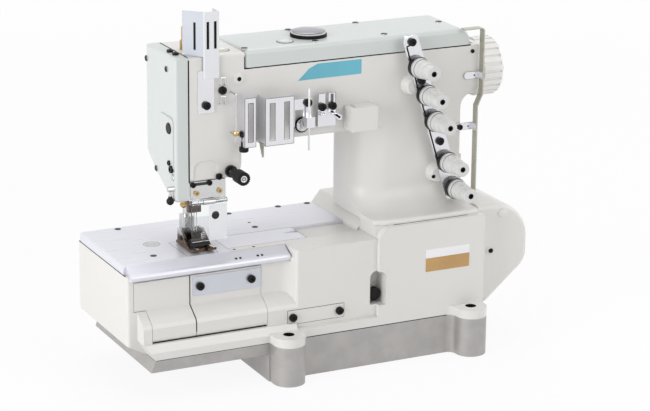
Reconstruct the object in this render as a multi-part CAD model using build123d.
import math
import os

from build123d import *

# Flat-bed interlock (coverstitch) sewing machine head, in millimetres.
# The origin is the centre of the four foot holes on the floor, with +X to the handwheel,
# +Y to the back and +Z up. "Inset" is measured to the right from the bed's left end,
# "set" is measured to the back from the bed's upper front plane, "z" is above the floor.
# The places of the recess, the pedestal, the column, the tension unit, the wheels and the guards at the
# right are measured to the right from the bed's right end, so most of them are negative.

# Feet and frame
foot_pitch_x = 252.0
foot_pitch_y = 204.0
foot_end = 23.5
foot_reach = 37.0
foot_lug_radius = 20.0
foot_hole_radius = 7.0
foot_lug_blend = 12.0

# Fits
seam = 0.3
running_fit = 0.05
overrun = 2.0

# Oil pan
pan_height = 49.5
pan_flange_thick = 14.5
pan_wall = 6.0
pan_floor = 6.0
pan_left_gap = 21.5
pan_flange_inset = 24.0
pan_flange_slope = -4.6

# Bed casting
bed_length = 470.0
bed_depth = 157.0
bed_top_z = 149.0
bed_wall = 8.0
bed_lug_height = 11.5
bed_left_bottom_z = 62.0
base_reach = 27.0
rim_reach = 22.0
rim_inset = 13.0
rim_end_slope = 12.0
rim_top_z = 68.5
rim_chamfer = 9.5
belly_reach = 20.0
wall_inset = 212.0
wall_blend = 15.0
wall_neck = 6.0
wall_round = 4.0
wall_bottom_z = 66.0
end_round = 4.0
web_inset = 225.0
web_thick = 8.0
back_web_set = 74.0

# Pedestal under the column
pedestal_inset = -148.0
pedestal_top_z = 175.0
ear_radius = 20.0
ear_depth = 12.0
pedestal_slope = 12.0

# Table
table_thick = 11.0
table_length = 318.0
table_depth = 158.0
table_front_set = 10.0
table_round = 3.0
table_corner = 6.0
slide_left_inset = 140.0
slide_right_inset = 246.0
slide_front_set = 22.0
slide_back_set = 68.0
slide_thick = 3.8
slide_notch_width = 9.0
slide_notch_length = 20.0
table_top_z = bed_top_z + table_thick
channel_z = table_top_z - slide_thick - seam / 2

# Needle plate and feed dog
plate_left_inset = 84.0
plate_right_inset = 124.0
plate_front_set = 14.0
plate_back_set = 72.0
plate_thick = 3.0
plate_ledge = 5.0
feed_slot_width = 4.4
feed_slot_pitch = 8.0
feed_slot_front_set = 30.0
feed_slot_length = 34.0
feed_travel = 2.0
feed_rise = 0.8
feed_tooth_pitch = 2.6
feed_tooth_depth = 1.1
feed_bar_depth = 6.0
feed_tooth_clear = 0.7

# Front edge bar
bar_left_inset = 3.0
bar_reach = 9.0
bar_bottom_z = 143.7
bar_nose_z = 152.6
bar_nose_round = 4.0
bar_lip_set = -4.0

# Front covers and their hinge
cover_left_inset = 24.4
cover_ear_inset = 9.0
cover_split_inset = 81.0
cover_right_inset = 174.0
cover_gap = 0.8
cover_top_z = 140.5
cover_top_gap = 1.5
cover_slope_top_z = 104.0
cover_slope_bottom_z = 92.0
cover_belly_z = 87.0
cover_thick = 4.0
hinge_set = -13.5
hinge_z = 75.5
hinge_barrel_radius = 6.5
hinge_pin_radius = 2.5
hinge_boss_inset = 180.0
hinge_end = 4.0
strip_left_inset = 84.5
strip_bottom_z = 114.0
strip_top_z = 138.0
strip_thick = 1.2
strip_screw_inset = 9.0
strip_screw_end = 13.2

# Side plate and push button
side_plate_left = 201.0
side_plate_right = 277.0
side_plate_bottom_z = 66.5
side_plate_top_z = 84.0
side_plate_thick = 2.0
side_screw_inset = 6.5
recess_left = -157.0
recess_right = -138.0
recess_bottom_z = 76.0
recess_top_z = 119.0
recess_floor_set = -1.0
recess_corner = 2.0
button_radius = 8.4
button_stem_radius = 4.0
button_inset = -147.5
button_z = 87.0
button_head_length = 7.0
button_front_set = -15.0

# Arm, column and head
arm_front_set = 28.0
arm_depth = 90.0
arm_wall = 8.0
arm_edge_round = 6.0
column_left = -150.0
column_right = -6.5
column_round = 40.0
column_back_round = 25.0
column_inner_round = 20.0
arm_under_z = 286.0
arm_right = 19.0
arm_end_under_z = 316.0
arm_seam_z = 379.0
arm_top_z = 401.0
arm_end_blend = 16.0
arm_end_round = 8.0
head_left = 93.0
head_right = 163.0
head_bottom_z = 246.0
head_top_z = 399.0
head_low_round = 16.0
head_arm_blend = 10.0
head_top_round = 3.0
flare_reach = 20.0
flare_radius = 30.0
flare_lip = 6.0
flare_top_z = 240.0
arm_web_inset = 205.0
panel_left = 99.0
panel_right = 130.0
panel_top_z = 271.0
panel_depth = 1.2
panel_round = 10.0

# Face cover
face_left = 75.5
face_wall = 4.0
face_tip_z = 223.0
face_tip_set = 40.0
face_knee_set = 89.5
face_knee_z = 246.0
face_back_z = 267.0
face_round = 6.0
face_pad_back_set = 76.0
face_pad_bottom_z = 256.0
face_pad_top_z = 326.0
face_pad_height = 1.6
face_pad_round = 9.0
face_plug_set = 44.0
face_plug_z = 312.0
face_plug_radius = 7.0
face_plug_height = 1.4

# Arm top cover and oil window
top_left = 165.3
top_right = 4.0
top_wall = 4.0
top_end_round = 18.0
top_edge_round = 6.0
window_inset = 269.5
window_set = 70.0
window_radius = 22.0
window_height = 6.0
window_rim = 3.0

# Shafts, belt and pulleys
shaft_set = 66.0
shaft_radius = 7.0
upper_shaft_z = 341.5
lower_shaft_z = 109.0
bush_radius = 12.0
belt_wheel_radius = 21.0
belt_wheel_width = 16.0
belt_wheel_inset = -80.0
belt_thick = 2.6
belt_width = 13.0
belt_clear = 0.3
belt_flange = 1.2
belt_flange_rise = 3.4
drive_pulley_radius = 36.0
drive_pulley_inset = 14.0
drive_pulley_width = 18.0
drive_groove_depth = 8.0
drive_groove_half = 6.0
lower_shaft_left = 216.0
lower_shaft_right = 38.0

# Handwheel
wheel_radius = 37.5
wheel_left = 25.0
wheel_width = 29.0
wheel_round = 4.0
wheel_dish = 7.0
wheel_hub_radius = 14.0
wheel_rim = 8.0
wheel_groove_depth = 1.2
wheel_groove_width = 3.0
wheel_groove_count = 24

# Needle bar and crank
needle_inset = 107.0
needle_set = 48.0
needle_bar_radius = 3.6
needle_bar_bottom_z = 210.0
needle_bar_top_z = 439.0
needle_stroke = 30.0
needle_gap_x = 3.2
needle_count = 3
needle_radius = 0.6
needle_tip_z = 175.0
needle_tip_length = 4.0
clamp_width = 16.0
clamp_depth = 10.0
clamp_height = 12.0
clamp_round = 2.0
clamp_bottom_z = 204.0
take_up_z = 431.0
take_up_thick = 3.0
take_up_front_set = 30.0
take_up_half_width = 9.0
crank_left = 118.0
crank_width = 9.0
crank_disc_radius = 21.0
crank_pin_radius = 3.5
crank_throw = needle_stroke / 2
link_length = 50.0
link_thick = 4.0
link_eye_radius = 6.5
link_gap = 0.5
driver_height = 12.0
driver_radius = 6.0
bar_bush_radius = 7.0
bar_bush_flange = 8.5
bar_bush_flange_thick = 1.5

# Presser bar, regulator and foot
presser_set = 72.0
presser_radius = 4.0
presser_bottom_z = 186.0
presser_top_z = 384.0
regulator_radius = 6.0
regulator_knurl_height = 11.0
regulator_neck_radius = 4.2
regulator_height = 28.0
regulator_stem_radius = 4.6
regulator_grip_count = 12
foot_left = 92.0
foot_right = 122.0
foot_front_set = 14.0
foot_back_set = 68.0
foot_thick = 3.0
foot_clear = 1.2
foot_toe_length = 9.0
foot_toe_rise = 2.5
foot_slot_half = 6.5
foot_slot_front_set = 40.0
foot_slot_back_set = 54.0
foot_rib_thick = 3.0
foot_rib_height = 16.0
foot_rib_back_set = 64.0
foot_rib_front_set = 30.0
foot_holder_radius = 7.5
foot_ankle_half = 6.0
foot_ankle_depth = 7.0

# Eye guard, its holder and the small lever
holder_left = 95.0
holder_right = 141.0
holder_bottom_z = 218.0
holder_thick = 2.0
holder_front_set = 30.0
holder_shelf = 13.0
guard_thick = 2.0
guard_bottom_z = 172.0
guard_top_z = 221.0
guard_fold = 14.0
guard_hinge_radius = 3.0
guard_hole_radius = 5.0
guard_hole_inset = 126.0
guard_hole_z = 203.0
guard_knuckle_gap = 0.3
lever_set = 33.5
lever_z = 240.0
lever_radius = 1.6
lever_length = 15.0
lever_ball_radius = 4.4
lever_pivot_radius = 3.2

# Spreader thread tension
spreader_inset = 145.5
spreader_z = 256.0
spreader_post_radius = 2.6
spreader_post_front = -10.0
spreader_knob_radius = 8.3
spreader_knob_front = -14.0
spreader_knob_back = 3.0
spreader_disc_radius = 7.5
spreader_disc_back = 25.0
spreader_disc_thick = 1.4
spreader_disc_gap = 0.8
spreader_grip_count = 20
grip_depth = 0.6

# Needle thread tension unit
tension_top_inset = -80.0
tension_top_z = 363.0
tension_low_inset = -24.0
tension_low_z = 202.0
tension_place_shares = (0.0, 0.224, 0.438, 0.778, 1.0)
tension_plate_top_span = (-8.0, 13.0)
tension_plate_low_span = (-14.0, 9.0)
tension_plate_rise = 40.0
tension_plate_drop = 12.0
tension_plate_thick = 2.0
tension_plate_gap = 13.0
tension_plate_round = 6.0
tension_post_radius = 3.2
tension_disc_radius = 13.0
tension_disc_thick = 1.6
tension_disc_gap = 1.0
knob_back_set = 7.5
knob_front_set = -31.0
knob_step_radii = (12.5, 11.4, 10.3, 9.2)
knob_step_length_shares = (0.2, 0.2, 0.25, 0.35)
knob_cup_radius = 7.5
knob_cup_share = 0.5
knob_hole_radius = 2.4
boss_radius = 5.0
tension_screw_shares = (-0.19, 0.112, 0.61)
tension_screw_shifts = (3.0, 0.0, 0.0)

# Thread guides on the arm
sheet = 1.2
guide_set = 5.0
guide_one_left = 155.0
guide_one_right = 170.0
guide_one_bottom_z = 288.0
guide_one_top_z = 349.0
guide_two_left = 182.0
guide_two_right = 220.0
guide_two_bottom_z = 287.0
guide_two_top_z = 346.0
guide_slot_margin = 6.5
guide_slot_width = 7.0
rod_inset = 147.0
rod_set = 12.0
rod_radius = 1.2
rod_bottom_z = 303.0
rod_top_z = 353.0
clip_left = 224.0
clip_right = 247.0
clip_bottom_z = 304.0
clip_top_z = 338.0
clip_set = 14.0
clip_block_width = 11.0
clip_block_height = 13.0
clip_rod_bottom_z = 275.0
eyelet_left = 259.0
eyelet_right = 283.0
eyelet_bottom_z = 299.0
eyelet_top_z = 341.0
eyelet_set = 20.0
eyelet_ring_radius = 4.0
eyelet_wire = 1.0
eyelet_screw_drop = 17.0
box_left = 298.0
box_right = 335.0
box_bottom_z = 290.0
box_top_z = 321.0
box_front_set = 8.0
box_round = 3.0
box_slot_width = 2.4
box_slot_depth = 4.0

# Take-up guard and hooks on the head
base_plate_left = 104.0
base_plate_right = 125.0
base_plate_bottom_z = 330.0
base_plate_top_z = 382.0
base_plate_thick = 2.0
shield_bottom_z = 372.0
shield_top_z = 453.0
shield_front_left = 112.0
shield_front_right = 131.0
shield_wing_left = 92.0
shield_wing_set = 44.0
shield_return_set = 42.0
shield_slot_bottom_z = 408.0
shield_slot_top_z = 441.0
shield_slot_width = 3.6
hook_inset = 136.0
hook_bottom_z = 346.0
hook_top_z = 366.0
hook_half_width = 3.0
hook_reach = 4.0
hook_wire = 0.9

# Handwheel strip guard
strip_guard_back_set = 26.0
strip_guard_depth = 10.0
strip_guard_thick = 1.6
strip_guard_x = 15.0
strip_guard_low_x = 8.0
strip_guard_top_left = -12.0
strip_guard_bend_z = 318.0
strip_guard_low_bend_z = 303.0
strip_guard_bottom_z = 190.0
strip_guard_round = 5.0
tab_upper_z = 336.0
tab_lower_z = 271.0
tab_height = 9.0
tab_upper_left = -6.0
tab_lower_left = -17.0

# Drive pulley cover
pulley_cover_right = 74.0
pulley_cover_bottom_z = 50.5
pulley_cover_top_z = 180.0
pulley_cover_front_set = -8.0
pulley_cover_back_set = 132.0
pulley_cover_wall = 4.0
pulley_cover_low_slope = 58.0
pulley_cover_low_rise = 49.5
pulley_cover_back_round = 85.0
pulley_cover_top_round = 50.0
pulley_cover_low_round = 28.0
pulley_cover_edge_round = 7.0
belt_slot_half = 26.0
belt_slot_width = 18.0

# Looper and rocker
rocker_inset = 150.0
rocker_set = 50.0
rocker_z = 92.0
rocker_radius = 8.0
rocker_width = 14.0
rocker_pin_radius = 4.0
rocker_arm_width = 8.0
rocker_arm_height = 40.0
looper_thick = 2.6
looper_height = 6.0
looper_tip_inset = 114.0
looper_drop = 2.0
looper_point = 1.0

# Fasteners
screw_radius = 4.0
screw_head = 2.6
screw_sink = 2.2
screw_slot_width = 1.0
screw_slot_depth = 0.9
black_screw_radius = 5.0
black_screw_head = 3.2
black_screw_socket = 2.2
brass_screw_radius = 3.4
brass_screw_head = 2.0
brass_screw_inset = 8.0
brass_screw_z = 232.0
table_screw_inset_shares = (0.151, 0.151, 0.626, 0.648, 0.846, 0.972)
table_screw_set_shares = (0.943, 0.209, 0.962, 0.551, 0.975, 0.962)
top_screw_inset_shares = (0.012, 0.303, 0.315, 0.607, 0.619, 0.924)
top_screw_set_shares = (0.1, 0.86, 0.1, 0.88, 0.1, 0.47)
face_screw_set_shares = (0.955, 0.262, 0.647, 0.091)
face_screw_z_shares = (0.904, 0.907, 0.164, 0.169)
table_plug_inset_share = 0.198
table_plug_set_share = 0.475
table_plug_radius = 10.0
table_plug_sink = 3.0

# Places worked out from the sizes above
right_x = foot_pitch_x / 2 + foot_end
left_x = right_x - bed_length
front_y = -foot_pitch_y / 2 + foot_reach
pan_left = -foot_pitch_x / 2 - pan_left_gap
back_y = front_y + bed_depth
shaft_y = front_y + shaft_set
needle_x = left_x + needle_inset
needle_y = front_y + needle_set
presser_y = front_y + presser_set
arm_front_y = front_y + arm_front_set
arm_back_y = arm_front_y + arm_depth
base_y = front_y - base_reach
belly_y = front_y - belly_reach


def outline(corners, radii=0.0):
    return make_face(FilletPolyline(*corners, radius=radii, close=True))


def along_x(corners, start, end, radii=0.0):
    return extrude(Plane.YZ.offset(start) * outline(corners, radii), end - start)


def along_y(corners, start, end, radii=0.0):
    return extrude(Plane.XZ.offset(-start) * outline(corners, radii), start - end)


def along_z(corners, start, end, radii=0.0):
    return extrude(Plane.XY.offset(start) * outline(corners, radii), end - start)


def block(x0, x1, y0, y1, z0, z1):
    return Pos((x0 + x1) / 2, (y0 + y1) / 2, (z0 + z1) / 2) * Box(x1 - x0, y1 - y0, z1 - z0)


def rod_x(start, end, y, z, radius):
    return Pos((start + end) / 2, y, z) * Rot(0, 90, 0) * Cylinder(radius, end - start)


def rod_y(x, start, end, z, radius):
    return Pos(x, (start + end) / 2, z) * Rot(90, 0, 0) * Cylinder(radius, end - start)


def rod_z(x, y, start, end, radius):
    return Pos(x, y, (start + end) / 2) * Cylinder(radius, end - start)


def rectangle(u0, u1, v0, v1):
    return [(u0, v0), (u1, v0), (u1, v1), (u0, v1)]


def save(name, shape):
    export_step(Compound(children=list(shape.solids())) if len(shape.solids()) > 1 else shape.solid(),
                f"parts/{name}.step")


def save_group(name, solids):
    export_step(Compound(children=[piece.solid() for piece in solids]), f"parts/{name}.step")


# Base

def foot_places():
    return [(sx * foot_pitch_x / 2, sy * foot_pitch_y / 2) for sy in (-1, 1) for sx in (-1, 1)]


def foot_lug(x, y, z0, z1):
    side = math.copysign(1.0, y)
    wall_y = base_y if y < 0 else back_y
    root = wall_y - side * pan_wall
    tip = y + side * foot_lug_radius
    half = foot_lug_radius
    wide = half + foot_lug_blend
    at_left = x < 0
    start = pan_left if at_left else x - wide
    end = x + wide if at_left else right_x
    corners = [(start, root), (start, wall_y), (x - half, wall_y), (x - half, tip),
               (x + half, tip), (x + half, wall_y), (end, wall_y), (end, root)]
    nose = half - seam
    blend = min(foot_lug_blend, abs(tip - wall_y) - nose) * (1 - running_fit)
    radii = [0, 0, 0 if at_left else blend, nose, nose, blend if at_left else 0, 0, 0]
    return along_z(corners, z0, z1, radii)


def foot_holes(z0, z1):
    return [rod_z(x, y, z0 - overrun, z1 + overrun, foot_hole_radius) for x, y in foot_places()]


def make_oil_pan():
    flange_left = left_x + pan_flange_inset
    flange_z = pan_height - pan_flange_thick
    profile = [(flange_left, pan_height), (flange_left + pan_flange_slope, flange_z),
               (pan_left, flange_z), (pan_left, 0), (right_x, 0), (right_x, pan_height)]
    pan = along_y(profile, base_y, back_y)
    for x, y in foot_places():
        pan += foot_lug(x, y, 0, pan_height)
    pan -= block(pan_left + pan_wall, right_x - pan_wall, base_y + pan_wall, back_y - pan_wall,
                 pan_floor, pan_height + overrun)
    for hole in foot_holes(0, pan_height):
        pan -= hole
    return pan


def bed_solid():
    rim_x = left_x + rim_inset
    wall_x = left_x + wall_inset
    pedestal_x = right_x + pedestal_inset
    slide_x = left_x + slide_left_inset
    lug_z = pan_height + bed_lug_height
    flange_x = left_x + pan_flange_inset
    core = along_y([(left_x, bed_left_bottom_z), (flange_x, pan_height), (right_x, pan_height),
                    (right_x, bed_top_z), (left_x, bed_top_z)], front_y, back_y)
    corner = core.edges().filter_by(Axis.Z).sort_by_distance((left_x, front_y, bed_top_z))[0]
    bed = fillet(corner, end_round)
    rim = [(front_y, pan_height), (base_y, pan_height), (base_y, rim_top_z - rim_chamfer),
           (front_y - rim_reach, rim_top_z), (front_y, rim_top_z)]
    rim_end = [(rim_x - overrun, rim_top_z), (rim_x, rim_top_z), (rim_x + rim_end_slope, pan_height),
               (rim_x + rim_end_slope, pan_height - overrun), (rim_x - overrun, pan_height - overrun)]
    bed += along_x(rim, rim_x, wall_x) - along_y(rim_end, base_y - overrun, front_y)
    bed += block(wall_x, right_x, base_y, front_y, pan_height, lug_z)
    wall = [(slide_x, front_y + bed_wall), (slide_x, front_y), (wall_x, front_y), (wall_x, belly_y),
            (pedestal_x, belly_y), (pedestal_x, front_y + bed_wall)]
    bed += along_z(wall, wall_bottom_z, bed_top_z, [0, 0, wall_blend, wall_round, 0, 0])
    bed += along_z([(wall_x, front_y), (wall_x, belly_y), (pedestal_x, belly_y), (pedestal_x, front_y)],
                   lug_z, wall_bottom_z + overrun, [0, wall_round, 0, 0])
    bed += bed_top_strip()
    bed += block(slide_x, left_x + table_length, front_y + slide_front_set, front_y + slide_back_set,
                 bed_top_z, channel_z)
    bed += make_pedestal()
    for x, y in foot_places():
        bed += foot_lug(x, y, pan_height, lug_z)
    return bed


def bed_top_strip():
    # Fixed strip in front of the slide plate, level with the table
    slide_x = left_x + slide_left_inset
    wall_x = left_x + wall_inset
    pedestal_x = right_x + pedestal_inset
    strip = [(slide_x, front_y + table_front_set), (wall_x, front_y + table_front_set),
             (wall_x, belly_y), (pedestal_x, belly_y), (pedestal_x, front_y + slide_front_set),
             (slide_x, front_y + slide_front_set)]
    return along_z(strip, bed_top_z, table_top_z, [0, 0, wall_round, 0, 0, 0])


def make_pedestal():
    pedestal_x = right_x + pedestal_inset
    lug_z = pan_height + bed_lug_height
    ear = along_y([(pedestal_x, lug_z), (right_x, lug_z), (right_x, pedestal_top_z),
                   (pedestal_x, pedestal_top_z)], base_y, base_y + ear_depth, [0, 0, 0, ear_radius])
    stand = block(pedestal_x, right_x, base_y + ear_depth, arm_front_y, lug_z, pedestal_top_z)
    rear_x = left_x + table_length + seam
    rear = along_y([(rear_x, bed_top_z), (right_x, bed_top_z), (right_x, pedestal_top_z),
                    (rear_x + pedestal_slope, pedestal_top_z), (rear_x, table_top_z)],
                   arm_front_y, back_y)
    return ear + stand + rear


def belly_corners():
    # Section of the bosses beside the front covers, in the YZ plane
    return [(front_y, cover_slope_top_z), (belly_y + overrun, cover_slope_bottom_z), (belly_y, cover_belly_z),
            (belly_y, rim_top_z), (front_y, rim_top_z)]


def make_bed_casting():
    bed = bed_solid()
    boss_start = left_x + cover_right_inset + cover_gap / 2
    boss_end = left_x + cover_left_inset - cover_gap / 2
    for start, end in ((boss_start, left_x + wall_inset + wall_neck), (left_x + rim_inset, boss_end)):
        bed += along_x(belly_corners(), start, end)
    bed -= bed_cavity()
    bed -= bed_openings()
    bed += bed_webs()
    bed -= rod_x(left_x + rim_inset + hinge_end, left_x + hinge_boss_inset, front_y + hinge_set, hinge_z,
                 hinge_pin_radius + running_fit)
    for x in (left_x + web_inset, right_x - bed_wall):
        bed -= rod_x(x - overrun, x + web_thick + overrun, shaft_y, lower_shaft_z, bush_radius)
    bed -= rod_y(left_x + rocker_inset, front_y + back_web_set - overrun,
                 front_y + back_web_set + web_thick + overrun, rocker_z, rocker_pin_radius)
    for hole in foot_holes(pan_height, pan_height + bed_lug_height):
        bed -= hole
    bed -= side_plate_pocket()
    bed -= button_recess()
    return bed - bar_pocket()


def bed_cavity():
    inner_left = left_x + bed_wall
    inner_right = right_x - bed_wall
    slope = [(inner_left, bed_left_bottom_z + bed_wall), (left_x + pan_flange_inset, pan_height + bed_wall),
             (pan_left + pan_wall, pan_height + bed_wall),
             (pan_left + pan_wall, pan_height - overrun),
             (inner_right, pan_height - overrun), (inner_right, bed_top_z - bed_wall),
             (inner_left, bed_top_z - bed_wall)]
    return along_y(slope, front_y + bed_wall, back_y - bed_wall)


def bed_openings():
    cover_start = left_x + cover_left_inset - cover_gap / 2
    cover_end = left_x + cover_right_inset + cover_gap / 2
    front = block(cover_start, cover_end, belly_y - overrun, front_y + bed_wall + overrun, rim_top_z,
                  cover_top_z + cover_top_gap)
    chamber = block(left_x + plate_left_inset + plate_ledge, left_x + slide_right_inset - web_thick * 4,
                    front_y + slide_front_set + plate_ledge, front_y + slide_back_set - plate_ledge,
                    bed_top_z - bed_wall - overrun, table_top_z)
    column = block(right_x + column_left + arm_wall + pedestal_slope, right_x + column_right - arm_wall,
                   arm_front_y + arm_wall, arm_back_y - arm_wall, bed_top_z - bed_wall - overrun,
                   pedestal_top_z + overrun)
    ear = block(left_x + cover_ear_inset - cover_gap / 2, cover_start + overrun, belly_y - overrun,
                front_y + bed_wall + overrun, cover_slope_top_z, cover_top_z + cover_top_gap)
    return front + ear + chamber + column


def bed_webs():
    inner_left = left_x + bed_wall
    web_x = left_x + web_inset
    cross = block(web_x, web_x + web_thick, front_y + bed_wall, back_y - bed_wall, pan_height,
                  bed_top_z - bed_wall)
    web_y = front_y + back_web_set
    back = block(inner_left, web_x, web_y, web_y + web_thick, bed_left_bottom_z + bed_wall,
                 bed_top_z - bed_wall)
    return cross + back


def bar_pocket():
    # Room for the right end of the front edge bar in the blended wall
    end = left_x + wall_inset - overrun
    return block(end - wall_blend * 2, end + seam, front_y - bar_reach - seam, front_y, bar_bottom_z - seam,
                 table_top_z + overrun)


def side_plate_pocket():
    return block(left_x + side_plate_left - seam, left_x + side_plate_right + seam, belly_y - overrun,
                 belly_y + side_plate_thick, wall_bottom_z, side_plate_top_z + seam)


def button_recess():
    arch = (recess_right - recess_left) / 2 - seam
    corners = rectangle(right_x + recess_left, right_x + recess_right, recess_bottom_z, recess_top_z)
    recess = along_y(corners, base_y - overrun, front_y + recess_floor_set,
                     [recess_corner, recess_corner, arch, arch])
    bore = rod_y(right_x + button_inset, front_y + recess_floor_set - overrun, front_y + bed_wall + overrun,
                 button_z, button_stem_radius + running_fit)
    return recess + bore


def make_push_button():
    x = right_x + button_inset
    start = front_y + button_front_set
    head = rod_y(x, start, start + button_head_length, button_z, button_radius)
    head = fillet(head.edges().sort_by(Axis.Y)[0], recess_corner)
    return head + rod_y(x, start + button_head_length, front_y + bed_wall, button_z, button_stem_radius)


def make_side_plate():
    return block(left_x + side_plate_left, left_x + side_plate_right, belly_y - seam,
                 belly_y + side_plate_thick, side_plate_bottom_z, side_plate_top_z)


# Table

def table_screw_places():
    return [(left_x + table_length * u, front_y + table_depth * v)
            for u, v in zip(table_screw_inset_shares, table_screw_set_shares)]


def make_cloth_plate():
    slide_x = left_x + slide_left_inset - seam
    corners = [(left_x, front_y + table_front_set), (slide_x, front_y + table_front_set),
               (slide_x, front_y + slide_back_set + seam),
               (left_x + table_length, front_y + slide_back_set + seam),
               (left_x + table_length, front_y + table_depth), (left_x, front_y + table_depth)]
    plate = along_z(corners, bed_top_z, table_top_z, [seam, 0, 0, 0, 0, table_corner])
    outer = plate.edges().filter_by(Plane.XY).group_by(Axis.Z)[-1]
    rounded = [edge for edge in outer
               if edge.center().X < left_x + table_corner or edge.center().Y > back_y - seam]
    plate = fillet(rounded, table_round)
    plate -= block(left_x + plate_left_inset - seam, left_x + plate_right_inset + seam,
                   front_y + plate_front_set - seam, front_y + plate_back_set + seam,
                   table_top_z - plate_thick, table_top_z + overrun)
    plate -= block(left_x + plate_left_inset + plate_ledge, left_x + plate_right_inset - plate_ledge,
                   front_y + plate_front_set + plate_ledge, front_y + plate_back_set - plate_ledge,
                   bed_top_z - overrun, table_top_z)
    for x, y in table_screw_places():
        plate -= rod_z(x, y, table_top_z - screw_sink, table_top_z + overrun, screw_radius + seam / 2)
    x, y = table_plug_place()
    plate -= rod_z(x, y, table_top_z - table_plug_sink, table_top_z + overrun, table_plug_radius + seam / 2)
    return plate


def table_plug_place():
    return left_x + table_length * table_plug_inset_share, front_y + table_depth * table_plug_set_share


def make_table_plug():
    x, y = table_plug_place()
    return rod_z(x, y, table_top_z - table_plug_sink, table_top_z, table_plug_radius)


def slotted_disc(x, y, z0, z1, radius):
    disc = rod_z(x, y, z0, z1, radius)
    return disc - block(x - radius, x + radius, y - screw_slot_width / 2, y + screw_slot_width / 2,
                        z1 - screw_slot_depth, z1 + overrun)


def make_table_screws():
    low = table_top_z - screw_sink
    return [slotted_disc(x, y, low, table_top_z, screw_radius) for x, y in table_screw_places()]


def make_slide_plate():
    right = left_x + slide_right_inset
    plate = block(left_x + slide_left_inset, right, front_y + slide_front_set + seam,
                  front_y + slide_back_set - seam, table_top_z - slide_thick, table_top_z)
    mid = front_y + (slide_front_set + slide_back_set) / 2 + slide_notch_width / 2
    notch = [(right - slide_notch_length, mid), (right - seam, mid - slide_notch_width / 2),
             (right - seam, mid + slide_notch_width / 2)]
    return plate - along_z(notch, table_top_z - slide_thick / 2, table_top_z + overrun)


def feed_rows():
    return [needle_x + i * feed_slot_pitch for i in (-1, 0, 1)]


def make_needle_plate():
    plate = block(left_x + plate_left_inset, left_x + plate_right_inset, front_y + plate_front_set,
                  front_y + plate_back_set, table_top_z - plate_thick, table_top_z)
    slot_y = front_y + feed_slot_front_set
    for x in feed_rows():
        plate -= block(x - feed_slot_width / 2, x + feed_slot_width / 2, slot_y,
                       slot_y + feed_slot_length, bed_top_z, table_top_z + overrun)
    half = needle_gap_x * needle_count / 2
    return plate - block(needle_x - half, needle_x + half, needle_y - feed_slot_width / 2,
                         needle_y + feed_slot_width / 2, bed_top_z, table_top_z + overrun)


def make_feed_dog():
    top = table_top_z + feed_rise
    base_z = table_top_z - plate_thick - feed_tooth_clear
    start = front_y + feed_slot_front_set + feed_travel + feed_tooth_clear
    end = front_y + feed_slot_front_set + feed_slot_length - feed_travel - feed_tooth_clear
    hole_start = needle_y - feed_slot_width
    hole_end = needle_y + feed_slot_width
    half = feed_slot_width / 2 - feed_tooth_clear
    rows = feed_rows()
    dog = block(rows[0] - half, rows[-1] + half, start, end, base_z - feed_bar_depth, base_z)
    for x in rows:
        for y0, y1 in ((start, hole_start), (hole_end, end)):
            dog += block(x - half, x + half, y0, y1, base_z - feed_tooth_clear, top)
            for i in range(int((y1 - y0) / feed_tooth_pitch)):
                groove = y0 + i * feed_tooth_pitch
                dog -= along_x([(groove, top), (groove + feed_tooth_pitch / 2, top - feed_tooth_depth),
                                (groove + feed_tooth_pitch / 2, top)], x - half, x + half)
    reach = feed_slot_pitch - half
    return dog - block(needle_x - reach, needle_x + reach, hole_start, hole_end,
                       base_z - feed_bar_depth - overrun, top)


def make_front_edge_bar():
    top_y = front_y + table_front_set - seam
    nose_y = front_y - bar_reach
    profile = [(front_y - seam, bar_bottom_z), (nose_y, bar_bottom_z), (nose_y, bar_nose_z),
               (front_y + bar_lip_set, bar_nose_z), (top_y, table_top_z - seam), (top_y, bed_top_z),
               (front_y - seam, bed_top_z)]
    return along_x(profile, left_x + bar_left_inset, left_x + wall_inset - overrun,
                   [0, bar_nose_round, bar_nose_round, 0, 0, 0, 0])


# Front covers

def make_front_cover(start, end):
    inner = front_y + cover_thick
    drop = cover_thick / 2
    section = [(front_y, cover_top_z), (front_y, cover_slope_top_z),
               (belly_y + overrun, cover_slope_bottom_z), (belly_y, cover_belly_z), (belly_y, hinge_z),
               (belly_y + cover_thick, hinge_z), (belly_y + cover_thick, cover_belly_z - drop),
               (inner, cover_slope_top_z - drop), (inner, cover_top_z)]
    cover = along_x(section, start, end)
    cover += rod_x(start, end, front_y + hinge_set, hinge_z, hinge_barrel_radius)
    return cover - rod_x(start - overrun, end + overrun, front_y + hinge_set, hinge_z,
                         hinge_pin_radius + running_fit)


def make_left_cover():
    # The flat upper part runs on to the left above the hinge boss
    start, end = cover_spans()[0]
    ear = block(left_x + cover_ear_inset, start + cover_thick, front_y, front_y + cover_thick,
                cover_slope_top_z + cover_gap, cover_top_z)
    return make_front_cover(start, end) + ear


def cover_spans():
    split = left_x + cover_split_inset
    return ((left_x + cover_left_inset, split - cover_gap / 2),
            (split + cover_gap / 2, left_x + cover_right_inset))


def make_hinge_pin():
    return rod_x(left_x + rim_inset + hinge_end, left_x + hinge_boss_inset, front_y + hinge_set, hinge_z,
                 hinge_pin_radius)


def strip_span():
    return left_x + strip_left_inset, left_x + cover_right_inset - seam


def make_cover_strip():
    start, end = strip_span()
    return block(start, end, front_y - strip_thick, front_y, strip_bottom_z, strip_top_z)


def cap_screw_y(x, seat_y, z):
    # Black socket screw with its head standing forward of the seat
    head = rod_y(x, seat_y - black_screw_head, seat_y, z, black_screw_radius)
    return head - rod_y(x, seat_y - black_screw_head - overrun, seat_y - black_screw_head / 2, z,
                        black_screw_socket)


def make_cover_screws():
    start, end = strip_span()
    z = (strip_bottom_z + strip_top_z) / 2
    return [cap_screw_y(x, front_y - strip_thick, z)
            for x in (start + strip_screw_inset, end - strip_screw_end)]


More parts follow.
